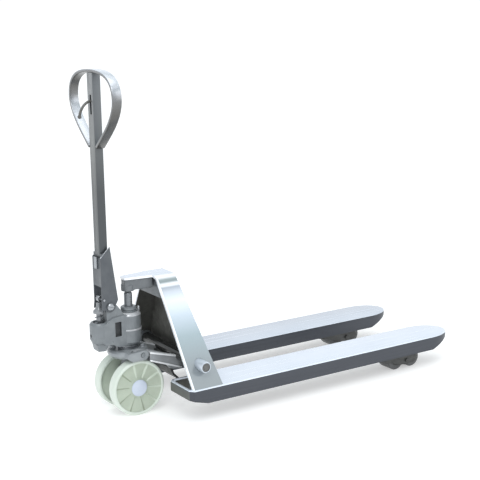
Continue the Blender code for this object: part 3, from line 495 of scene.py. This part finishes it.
def rings_mesh(rings):
    """A mesh from closed loops of points: neighbouring loops joined, the first and last filled.

    Gives the mesh, its strips of faces in the order of the loops, and its two end faces.
    """
    bm = bmesh.new()
    made = [[bm.verts.new(point) for point in ring] for ring in rings]
    count = len(made[0])
    strips = []
    for first, second in zip(made, made[1:]):
        strips.append([bm.faces.new((first[i], first[(i + 1) % count], second[(i + 1) % count],
                                     second[i])) for i in range(count)])
    ends = [bm.faces.new(made[0][::-1]), bm.faces.new(made[-1])]
    return bm, strips, ends


def join_round(bm, rings):
    """Faces between each ring of vertices and the next, and from the last to the first."""
    sides = len(rings[0])
    for first, second in zip(rings, rings[1:] + rings[:1]):
        for i in range(sides):
            j = (i + 1) % sides
            bm.faces.new((first[i], first[j], second[j], second[i]))
    bmesh.ops.recalc_face_normals(bm, faces=bm.faces)


def lathe(profile, sides, centre, sign, wave=None):
    """Turns (radius, width) points about the Y axis through centre; wave moves points along Y."""
    bm = bmesh.new()
    rings = []
    for radius, width in profile:
        ring = []
        for i in range(sides):
            angle = 2 * math.pi * i / sides
            shift = wave(radius, width, angle) if wave else 0
            ring.append(bm.verts.new(centre + Vector((radius * math.cos(angle), sign * (width + shift),
                                                      radius * math.sin(angle)))))
        rings.append(ring)
    join_round(bm, rings)
    return bm


# ---------------------------------------------------------------- forks
FORK_R = 0.006          # round between the top and the skirt
FORK_WALL = 0.005
EDGE_STEPS = 5          # along that round
NOSE_STEPS = 40
NOSE = 0.116            # length of the rounded tip
TIP_SKIRT = 0.008       # skirt left at the tip
HEEL_CORNER = 0.014
HEEL_SLOPE = 0.067      # length of the skirt's slope at the heel, and its rise
HEEL_RISE = 0.021
PAST_END = 0.01         # how far past the ends the slopes would run
OPENING = (0.098, 0.132, 0.03)      # opening in the top under the head: the cutter's size
OPENING_X = 0.057                   # its middle, from the heel
OPENING_R = 0.008
FORK_TOP, FORK_SKIRT, FORK_HEEL, FORK_INSIDE = range(4)     # the fork's materials: the top painted light, the skirt and heel painted as shade, the inside painted dark as shade


def make_forks():
    for side, _ in SIDES:
        low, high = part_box("fork_" + side)
        top, middle, half = high.z, (low.y + high.y) / 2, (high.y - low.y) / 2
        skirt, heel, tip = low.z, low.x, high.x
        nose, corner = tip - NOSE, HEEL_CORNER
        slope = heel + HEEL_SLOPE

        def outline(inset):
            """The fork from above, drawn in by inset; y from its middle."""
            points = [(heel + corner, half - inset), (slope, half - inset)]
            points += [(nose * (1 - t) + slope * t, half - inset) for t in (0.75, 0.5, 0.25)]
            for i in range(NOSE_STEPS + 1):
                a = math.pi * i / NOSE_STEPS
                points.append((nose + (tip - nose - inset) * math.sin(a), (half - inset) * math.cos(a)))
            points += [(nose * (1 - t) + slope * t, inset - half) for t in (0.25, 0.5, 0.75)]
            points += [(slope, inset - half), (heel + corner, inset - half)]
            points += [(heel + inset + 0.001, inset - half + corner),
                       (heel + inset, inset - half + corner + 0.001),
                       (heel + inset, half - inset - corner - 0.001),
                       (heel + inset + 0.001, half - inset - corner)]
            return points

        def foot(x):
            """Height of the skirt's lower edge."""
            if x > nose:
                return skirt + (x - nose) / (tip + PAST_END - nose) * (top - TIP_SKIRT - skirt)
            if x < slope:
                return skirt + (slope - x) / (slope - heel + PAST_END) * HEEL_RISE
            return skirt

        def ring(inset, height):
            return [Vector((x, middle + y, foot(x) if height is None else height))
                    for x, y in outline(inset)]

        rings = [ring(FORK_R * (1 - math.sin(a)), top - FORK_R * (1 - math.cos(a)))
                 for a in (math.pi / 2 * i / EDGE_STEPS for i in range(EDGE_STEPS + 1))]
        rings += [ring(0, None), ring(FORK_WALL, None), ring(FORK_WALL, top - FORK_WALL)]
        bm, strips, ends = rings_mesh(rings)
        # painted light and shade: each strip takes the lit or a shaded copy of the stainless
        for index, strip in enumerate(strips):
            for face in strip:
                if index < EDGE_STEPS - 1:
                    face.material_index = FORK_TOP
                elif index <= EDGE_STEPS + 1:
                    face.material_index = FORK_SKIRT
                else:
                    face.material_index = FORK_INSIDE
        for face in strips[EDGE_STEPS]:
            if face.calc_center_median().x < heel + FORK_WALL - 0.001:
                face.material_index = FORK_HEEL
        ends[1].material_index = FORK_INSIDE
        bmesh.ops.recalc_face_normals(bm, faces=bm.faces)
        opening = bmesh.new()
        bmesh.ops.create_cube(opening, size=1)
        bmesh.ops.scale(opening, vec=OPENING, verts=opening.verts)
        bmesh.ops.translate(opening, vec=(heel + OPENING_X, middle, top), verts=opening.verts)
        upright = [edge for edge in opening.edges
                   if abs((edge.verts[0].co - edge.verts[1].co).z) > OPENING[2] / 2]
        bmesh.ops.bevel(opening, geom=upright, offset=OPENING_R, segments=4, affect="EDGES")
        tool = cutter("opening", opening)
        mesh = evaluated(bm, [("BOOLEAN", {"object": tool, "operation": "DIFFERENCE"})], 28)
        bpy.data.objects.remove(tool)
        piece("fork_sheet_" + side, mesh, "frame", "stainless", ["fork_" + side],
              "top_painted_light", "skirt", "shaded_steel", "inside")


# ---------------------------------------------------------------- head
HEAD_WALL = 0.008
HEAD_SPLAY = 0.594      # how far a side plate moves out for each metre down
HEAD_BEND = 0.024       # outer radius of the bend between the top and a side plate
HEAD_MEET = 0.0476      # where the planes of the top and of a side plate would meet
BEND_TOP = 0.035        # the bend starts this far below the top
PLATE_STEPS, BEND_STEPS = 8, 12
REAR_EDGE = (0.095, 0.456, 0.045)       # a side plate's edge: x from the steering axis at a height,
FRONT_EDGE = (0.176, 0.449, 0.164)      # that height, and how far it moves to +X for each metre down
TOP_REAR, TOP_FRONT = 0.088, 0.168      # the top's edges, from the steering axis
EDGE_BLEND = 0.012      # depth below the top over which the edges change from its own to the plates'
TONGUE = ((-0.002, 0.0215), (-0.008, 0.0195), (-0.012, 0.0155), (-0.013, 0.011))    # half its outline
SHAFT_HOLE_R = 0.0205
REAR_BAND = 0.0065      # band along the side plates' rear edges, painted bright as the highlight of a rounded edge
CROWN = 0.03            # this near the top or the middle, the outside faces up as well as out
EDGE_FACING = 0.45      # faces turned further than this to X are the sheet's cut edges, painted bright as highlights
LEVEL_FACING = 0.97     # faces turned further than this to Z are the flat top
HEAD_PLATE, HEAD_EDGE, HEAD_TOP, HEAD_INSIDE = range(4)     # the head's materials: painted reflections on the plates, painted highlights on the edges, painted light on the top, painted shade inside


def edge_x(edge, z):
    x, height, lean = edge
    return STEER_X + x + (height - z) * lean


def make_head():
    low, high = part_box("head_shell")
    top, foot = high.z, low.z
    turn = math.pi / 2 - math.atan(HEAD_SPLAY)
    flat = HEAD_MEET - HEAD_BEND * math.tan(turn / 2)

    section = [(HEAD_MEET + (top - z) * HEAD_SPLAY, z)
               for z in (foot + (top - BEND_TOP - foot) * i / PLATE_STEPS for i in range(PLATE_STEPS + 1))]
    for i in range(BEND_STEPS + 1):
        a = turn * (1 - i / BEND_STEPS)
        section.append((flat + HEAD_BEND * math.sin(a), top - HEAD_BEND * (1 - math.cos(a))))
    section += [(-y, z) for y, z in reversed(section)]
    bm = bmesh.new()
    rows = []
    for y, z in section:
        blend = max(0.0, min(1.0, (top - z) / EDGE_BLEND))
        x_rear = (STEER_X + TOP_REAR) * (1 - blend) + edge_x(REAR_EDGE, z) * blend
        x_front = (STEER_X + TOP_FRONT) * (1 - blend) + edge_x(FRONT_EDGE, z) * blend
        rows.append([bm.verts.new((x, y, z)) for x in (x_rear, x_rear + REAR_BAND, x_front)])
    for first, second in zip(rows, rows[1:]):
        for i in (0, 1):
            bm.faces.new((first[i], second[i], second[i + 1], first[i + 1]))
    tip = [bm.verts.new((STEER_X + x, y, top))
           for x, y in (*TONGUE, *((x, -y) for x, y in reversed(TONGUE)))]
    flat_rows = [row for row in rows if abs(row[0].co.z - top) < 1e-6]
    bm.faces.new((flat_rows[0][0], *tip, flat_rows[-1][0]))
    bmesh.ops.recalc_face_normals(bm, faces=bm.faces)
    up = max(bm.faces, key=lambda face: face.calc_center_median().z).normal.z > 0

    shaft_y = abs(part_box("shaft_cap_right")[0].y)
    cross = sum(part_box("cross_shaft"), Vector()) / 2
    hole = bmesh.new()
    bmesh.ops.create_cone(hole, cap_ends=True, segments=48, radius1=SHAFT_HOLE_R, radius2=SHAFT_HOLE_R,
                          depth=2 * shaft_y + 0.1)
    bmesh.ops.rotate(hole, cent=(0, 0, 0), matrix=Matrix.Rotation(math.pi / 2, 3, "X"),
                     verts=hole.verts)
    bmesh.ops.translate(hole, vec=cross, verts=hole.verts)
    below = bmesh.new()
    bmesh.ops.create_cube(below, size=1)
    bmesh.ops.translate(below, vec=(STEER_X + 0.2, 0, foot - 0.5), verts=below.verts)
    hole_tool, below_tool = cutter("hole", hole), cutter("below", below)
    mesh = evaluated(bm, [
        ("SOLIDIFY", {"thickness": HEAD_WALL, "offset": -1.0 if up else 1.0,
                      "use_even_offset": True}),
        ("BOOLEAN", {"object": below_tool, "operation": "DIFFERENCE"}),
        ("BOOLEAN", {"object": hole_tool, "operation": "DIFFERENCE"}),
        bevel(0.0012, 2, 50)], 30)
    bpy.data.objects.remove(hole_tool)
    bpy.data.objects.remove(below_tool)

    # painted light and shade: edges and rear bands bright as highlights, the inside dark as shade
    for face in mesh.polygons:
        out = Vector((0, math.copysign(1, face.center.y), 0))
        if abs(face.center.y) < CROWN or face.center.z > top - CROWN:
            out = Vector((0, math.copysign(0.5, face.center.y), 0.8))
        outside = face.normal.dot(out) > 0
        on_side = face.center.z < top - EDGE_BLEND
        banded = on_side and outside and face.center.x < edge_x(REAR_EDGE, face.center.z) + REAR_BAND
        if abs(face.normal.x) > EDGE_FACING or banded:
            face.material_index = HEAD_EDGE
        elif outside:
            face.material_index = HEAD_TOP if face.normal.z > LEVEL_FACING else HEAD_PLATE
        else:
            face.material_index = HEAD_INSIDE
    piece("head_sheet", mesh, "frame", "stainless", ["head_shell"],
          "plate_painted_reflections", "painted_highlight_edge", "top_painted_light", "inside")


# ---------------------------------------------------------------- wheels
RIBS = 10
RIB_START = 0.12                # share of a rib's turn by which the first is shifted
RIB_FROM, RIB_TO = 0.034, 0.088     # radii between which the ribs show
RIB_RISE = 0.9                  # share of a rib's turn that rises; the rest falls back
RIB_CREASE = 0.88               # the crease starts here in its turn
RIB_DEPTH = 0.0042
TYRE_R = 0.0885                 # inner radius of the lip and tread
WHEEL_FACE, WHEEL_LIP, WHEEL_CREASE, WHEEL_LIT = range(4)       # the wheel's materials: the face, the lip painted as a highlight, the creases' shaded side painted darker, faces painted lighter as light
DOME_STEPS = 14
POLE_R = 0.0025                 # the thin tube that the lathe leaves on the cap's axis is inside this


def rib_turn(angle):
    """How far through its rib's turn an angle is, 0 to 1."""
    return (RIBS * angle / (2 * math.pi) + RIB_START) % 1


def make_wheels():
    for side, sign in SIDES:
        low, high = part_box("steering_wheel_" + side)
        width = high.y - low.y
        inner = low.y if sign > 0 else high.y
        centre = Vector((STEER_X, inner, WHEEL_R))

        def ribbed(radius, across, angle):
            """Soft radial ribs over the dished outer face."""
            if across < width * 0.5 or not RIB_FROM < radius < RIB_TO:
                return 0
            turn = rib_turn(angle)
            ramp = turn / RIB_RISE if turn < RIB_RISE else (1 - turn) / (1 - RIB_RISE)
            fade = min(1.0, (radius - RIB_FROM) / 0.010) * min(1.0, (RIB_TO - radius) / 0.014)
            return RIB_DEPTH * (ramp - 0.6) * fade

        # the bore's outer end, the hub and the dished face
        dish = [(0.0195, width - 0.003), (0.027, width - 0.003), (0.031, width - 0.0045),
                (0.036, width - 0.0075)]
        dish += [(0.036 + 0.050 * t, width - 0.0075 + 0.0035 * t * t)
                 for t in (i / 10 for i in range(1, 11))]
        # the lip and the tread
        dish += [(TYRE_R, width - 0.0022), (0.0900, width - 0.0004), (0.0918, width),
                 (0.0955, width), (0.0978, width - 0.0010), (0.0994, width - 0.0028),
                 (0.1000, width - 0.0050), (0.1000, width * 0.5)]
        # the inner edge, the hollowed inner face and the bore's inner end
        dish += [(0.1000, 0.0050), (0.0994, 0.0028), (0.0978, 0.0010),
                 (0.0955, 0.0), (0.0918, 0.0), (0.0900, 0.0006), (0.0888, 0.0030), (0.0870, 0.0065),
                 (0.0800, 0.0085), (0.060, 0.0090), (0.040, 0.0085), (0.032, 0.0060), (0.027, 0.0010),
                 (0.0190, 0.0010)]
        bm = lathe(dish, 160, centre, sign, ribbed)
        # painted light and shade: lip and tread lighter as a highlight, rib creases lighter facing up and
        # forward and darker facing the other way, the inner face lighter
        for face in bm.faces:
            place = face.calc_center_median() - centre
            radius = math.hypot(place.x, place.z)
            in_crease = rib_turn(math.atan2(place.z, place.x)) > RIB_CREASE
            if radius > TYRE_R:
                face.material_index = WHEEL_LIP
            elif in_crease and radius > RIB_FROM and place.y * sign > width / 2:
                face.material_index = WHEEL_LIT if place.z + place.x > 0 else WHEEL_CREASE
            else:
                face.material_index = WHEEL_LIT if place.y * sign < width * 0.3 else WHEEL_FACE
        mesh = evaluated(bm, [], 50)
        piece("wheel_" + side + "_rim", mesh, "wheel_" + side, "nylon", ["steering_wheel_" + side],
              "nylon", "lip_painted_highlight", "crease_shade", "nylon_painted_light")

        low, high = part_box("hub_cap_" + side)
        face_y = low.y if sign > 0 else high.y
        rim = (high.x - low.x) / 2
        rise = high.y - low.y
        dome = [(rim * math.sin(a), rise * (0.25 + 0.75 * math.cos(a)))
                for a in (math.radians(3 + 87 * i / DOME_STEPS) for i in range(DOME_STEPS + 1))]
        dome += [(rim - 0.0006, 0.0), (0.002, 0.0)]
        bm = lathe(dome, 64, Vector((STEER_X, face_y, WHEEL_R)), sign)

        def off_axis(vert):
            return math.hypot(vert.co.x - STEER_X, vert.co.z - WHEEL_R)

        for loop_radius in (dome[0][0], dome[-1][0]):
            bmesh.ops.contextual_create(bm, geom=[vert for vert in bm.verts
                                                  if abs(off_axis(vert) - loop_radius) < 1e-5])
        tube = [face for face in bm.faces
                if len(face.verts) == 4 and all(off_axis(vert) < POLE_R for vert in face.verts)]
        bmesh.ops.delete(bm, geom=tube, context="FACES_ONLY")
        bmesh.ops.recalc_face_normals(bm, faces=bm.faces)
        mesh = evaluated(bm, [], 60)
        piece("hub_dome_" + side, mesh, "wheel_" + side, "cap", ["hub_cap_" + side], "hub_cap")


# ---------------------------------------------------------------- the other nodes
WINDOW_BACK = 0.050         # middle of the casting's side windows, behind the steering axis
WINDOW_HALF = 0.014
WINDOW_Y = 0.0325           # the windows' floors are inside this
WINDOW_LOW, WINDOW_HIGH = 0.284, 0.340
CHEEK_LOW = 0.55            # the cheeks' bright top edges are above this,
CHEEK_IN = 0.027            # and outside this on each side


def make_castings():
    pump = moulded("pump_casting", "pump_body", "casting", 0.0010, 5)
    pump.data.materials.append(MATERIAL["shadow"])
    for face in pump.data.polygons:
        place = face.center
        if (abs(place.x - STEER_X + WINDOW_BACK) < WINDOW_HALF and abs(place.y) < WINDOW_Y
                and WINDOW_LOW < place.z < WINDOW_HIGH):
            face.material_index = 1
    moulded("bearing_seat", "seat_body", "seat_paint", 0.0011, 5)
    moulded("valve_block", "valve_body", "casting", 0.0010, 6)
    moulded("steering_yoke", "yoke_body", "casting_dark", 0.0014, 5)
    moulded("tongue_bracket", "tongue_casting", "casting_dark", 0.0012, 5)
    edged("rear_stiffener", "rear_cross_plate", "casting_dark", 0.0008, 2)
    # painted shade: the front plate is dark but for its forward face
    wall = edged("front_plate", "inner_wall", "inside", 0.0008, 2)
    wall.data.materials.append(MATERIAL["wall_front"])
    for face in wall.data.polygons:
        if face.normal.x > 0.5:
            face.material_index = 1
    for side, _ in SIDES:
        edged("rocker_lever_" + side, "lever_plate_" + side, "casting_dark", 0.0008, 2)
        edged("push_rod_" + side, "rod_bar_" + side, "casting_dark", 0.0010, 2)
        edged("roller_lever_" + side, "roller_fork_" + side, "black_metal", 0.0008, 2)
        edged("bogie_" + side, "bogie_links_" + side, "black_metal", 0.0008, 2)
        for end in ("front", "rear"):
            edged(f"load_roller_{end}_{side}", f"roller_{end}_{side}", "roller_dark", 0.0012, 3)
    edged("handle_shaft", "shaft_tube", "shaft_paint_and_shade", 0.0025, 4)
    cheeks = edged("handle_base", "base_cheeks", "handle_paint", 0.0010, 3)
    # painted highlight: the cheeks' up-facing top edges are near white
    cheeks.data.materials.append(MATERIAL["painted_highlight_edge"])
    for face in cheeks.data.polygons:
        if face.normal.z > 0.4 and face.center.z > CHEEK_LOW and abs(face.center.y) > CHEEK_IN:
            face.material_index = 1
    edged("handle_loop", "loop_strip", "loop_band", 0.0014, 3)


ARM_TOP = ((0.043, 0.2255), (0.157, 0.1935))    # two points on the outer beam's top, and two on its
ARM_FOOT = ((0.045, 0.1905), (0.157, 0.1478))   # bottom, from the steering axis and the floor
ARM_ENDS, ARM_STEPS = (0.043, 0.168), 8         # the beam's ends, from the steering axis
FLANGE = 0.0062             # the flanges' thickness; they are painted bright as highlights
FLANGE_IN, FLANGE_OUT = -0.004, 0.0150      # sides of the flanges, from the arm's outer face
WEB_IN, WEB_OUT = 0.0078, 0.0115            # sides of the web; the lower flange starts there too
WEB_INSET = 0.001           # the web stops short of the flanges' outsides by this


def make_arms():
    """Each rocker arm: the plate in the seat's slot, and outside it a beam with two flanges painted bright
    as highlights.
    """
    def between(ends, x):
        (x0, z0), (x1, z1) = ends
        return z0 + (z1 - z0) * (x - x0) / (x1 - x0)

    for side, sign in SIDES:
        low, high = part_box("rocker_arm_" + side)
        outer = max(abs(low.y), abs(high.y))
        start, end = ARM_ENDS
        xs = [start + (end - start) * i / ARM_STEPS for i in range(ARM_STEPS + 1)]

        def strip(lower, upper, inner, outside):
            outline = [(STEER_X + x, lower(x)) for x in xs]
            outline += [(STEER_X + x, upper(x)) for x in reversed(xs)]
            return prism(outline, sorted((sign * inner, sign * outside)))

        def top(x):
            return between(ARM_TOP, x)

        def foot(x):
            return between(ARM_FOOT, x)

        web = strip(lambda x: foot(x) + WEB_INSET, lambda x: top(x) - WEB_INSET,
                    outer + WEB_IN, outer + WEB_OUT)
        upper = strip(lambda x: top(x) - FLANGE, top, outer + FLANGE_IN, outer + FLANGE_OUT)
        lower = strip(foot, lambda x: foot(x) + FLANGE, outer + WEB_IN, outer + FLANGE_OUT)
        plate = flat_copy("rocker_arm_" + side)
        for face in (*web.faces, *plate.faces):
            face.material_index = 1
        mesh = evaluated(gathered(plate, web, upper, lower), [bevel(0.0009, 2, 40)], 35)
        piece("arm_beam_" + side, mesh, "rocker", "cast", ["rocker_arm_" + side], "painted_highlight",
              "arm_web")


CAP_RIM = 0.0042            # width of the cap's rim round its recessed face
CAP_DIP = 0.0016            # depth of the face's middle
POINT_R = 0.0005            # radius of the thin tube that the lathe leaves on the cap's axis
AXIS_R = 0.001              # vertices inside this are on that tube


def make_caps():
    """The cross shaft's ends: a bright stub with a recessed face inside a rim, painted dark as shade."""
    for side, sign in SIDES:
        low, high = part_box("shaft_cap_" + side)
        centre = Vector(((low.x + high.x) / 2, low.y if sign > 0 else high.y, (low.z + high.z) / 2))
        length, radius = high.y - low.y, (high.z - low.z) / 2
        bm = lathe([(POINT_R, 0.0), (radius, 0.0), (radius, length - 0.003),
                    (radius - 0.0012, length - 0.0008), (radius - 0.003, length),
                    (radius - CAP_RIM, length - 0.0004), (radius - 0.0048, length - 0.0030),
                    (0.009, length - 0.0036), (0.0078, length - 0.0022),
                    (POINT_R, length - CAP_DIP)], 64, centre, sign)

        def on_axis(vert):
            return math.hypot(vert.co.x - centre.x, vert.co.z - centre.z) < AXIS_R

        # painted shade: the recessed face takes the darker steel
        for face in bm.faces:
            place = face.calc_center_median() - centre
            inside = math.hypot(place.x, place.z) < radius - CAP_RIM
            face.material_index = 1 if inside and abs(place.y) > length / 2 else 0
        for face in [face for face in bm.faces if all(on_axis(vert) for vert in face.verts)]:
            bm.faces.remove(face)
        for width in (0.0, length - CAP_DIP):
            ring = [vert for vert in bm.verts
                    if on_axis(vert) and abs(abs(vert.co.y - centre.y) - width) < 1e-6]
            face = bmesh.ops.contextual_create(bm, geom=ring)["faces"][0]
            face.material_index = 1 if width else 0
        bmesh.ops.recalc_face_normals(bm, faces=bm.faces)
        piece("cap_turned_" + side, evaluated(bm, [], 35), "frame", slot_of("shaft_cap_" + side),
              ["shaft_cap_" + side], "cap_side", "shaded_steel")

        # painted highlight: a near-white collar at each end of the rocker tube
        tube_low, tube_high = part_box("rocker_tube")
        end = Vector((centre.x, tube_high.y if sign > 0 else tube_low.y, centre.z))
        outer = (tube_high.z - tube_low.z) / 2
        bm = lathe([(outer - 0.001, -0.0050), (outer + 0.0012, -0.0045), (outer + 0.0012, -0.0008),
                    (outer, -0.0002), (outer - 0.004, -0.0002), (outer - 0.004, -0.0050)], 48, end, sign)
        piece("tube_collar_" + side, evaluated(bm, [], 35), "rocker", slot_of("rocker_tube"), [], "painted_highlight")


RING_SIDES = 96
LEDGE_DROP = 0.0605         # the ledge's middle, below the cylinder's top
LEDGE = ((0.0425, -0.0030), (0.0446, -0.0022), (0.0450, 0.0006), (0.0442, 0.0030), (0.0425, 0.0034))
CHAMFER = ((0.0300, -0.0015), (0.0424, -0.0110), (0.0428, -0.0100), (0.0424, -0.0085),
           (0.0338, 0.0008), (0.0325, 0.0010))      # both are (radius, height) round the ring's section


def make_pump_trim():
    """The ledge and chamfer round the pump's cylinder, in a lighter casting colour as painted highlights.
    """
    rod = sum(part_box("piston_rod"), Vector()) / 2
    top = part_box("gland_nut")[0].z
    turns = [2 * math.pi * i / RING_SIDES for i in range(RING_SIDES)]
    for name, section, middle in (("cylinder_ledge", LEDGE, top - LEDGE_DROP),
                                  ("cylinder_chamfer", CHAMFER, top)):
        bm = bmesh.new()
        join_round(bm, [[bm.verts.new((rod.x + radius * math.cos(a), radius * math.sin(a), middle + height))
                         for a in turns] for radius, height in section])
        piece(name, evaluated(bm, [], 50), body_of("pump_casting"), slot_of("pump_casting"), [],
              "casting_highlight")


CARRIED = {     # CAD nodes shown as they are, by material
    "machined": ("thrust_bearing", "filler_screw", "handle_pivot_pin", "wheel_axle",
                 "wheel_bearing_left", "wheel_bearing_right", "cable_clip", "roller_pin", "lever_pin",
                 "pressure_roller", "release_rod", "valve_lever", "roller_lever_pin_left",
                 "roller_lever_pin_right", "cross_shaft", "plunger_spring"),
    "rod_steel": ("piston_rod",),
    "plunger_paint": ("pump_plunger",),
    "casting": ("gland_nut", "trunnion_pin_left", "trunnion_pin_right"),
    "tube_paint": ("rocker_tube",),
    "dark_lever": ("control_lever",),
    "black_metal": ("overload_plug", "rocker_web"),
}


def dress_carried_nodes():
    for material, names in CARRIED.items():
        for name in names:
            mesh = frame["nodes"][name].data
            mesh.materials.clear()
            mesh.materials.append(MATERIAL[material])


FLOOR_HALF = 60


def make_floor():
    bm = bmesh.new()
    bmesh.ops.create_grid(bm, x_segments=2, y_segments=2, size=FLOOR_HALF)
    mesh = bpy.data.meshes.new("floor")
    bm.to_mesh(mesh)
    bm.free()
    mesh.materials.append(MATERIAL["floor"])
    floor = bpy.data.objects.new("floor", mesh)
    bpy.context.scene.collection.objects.link(floor)


make_forks()
make_head()
make_wheels()
make_castings()
make_arms()
make_caps()
make_pump_trim()
dress_carried_nodes()
make_floor()
area_light("key", (-2.2, -2.6, 4.0), 2.4, 70)
area_light("fill", (2.5, -3.5, 2.2), 3.0, 25)
bpy.context.scene.view_settings.view_transform = "Standard"
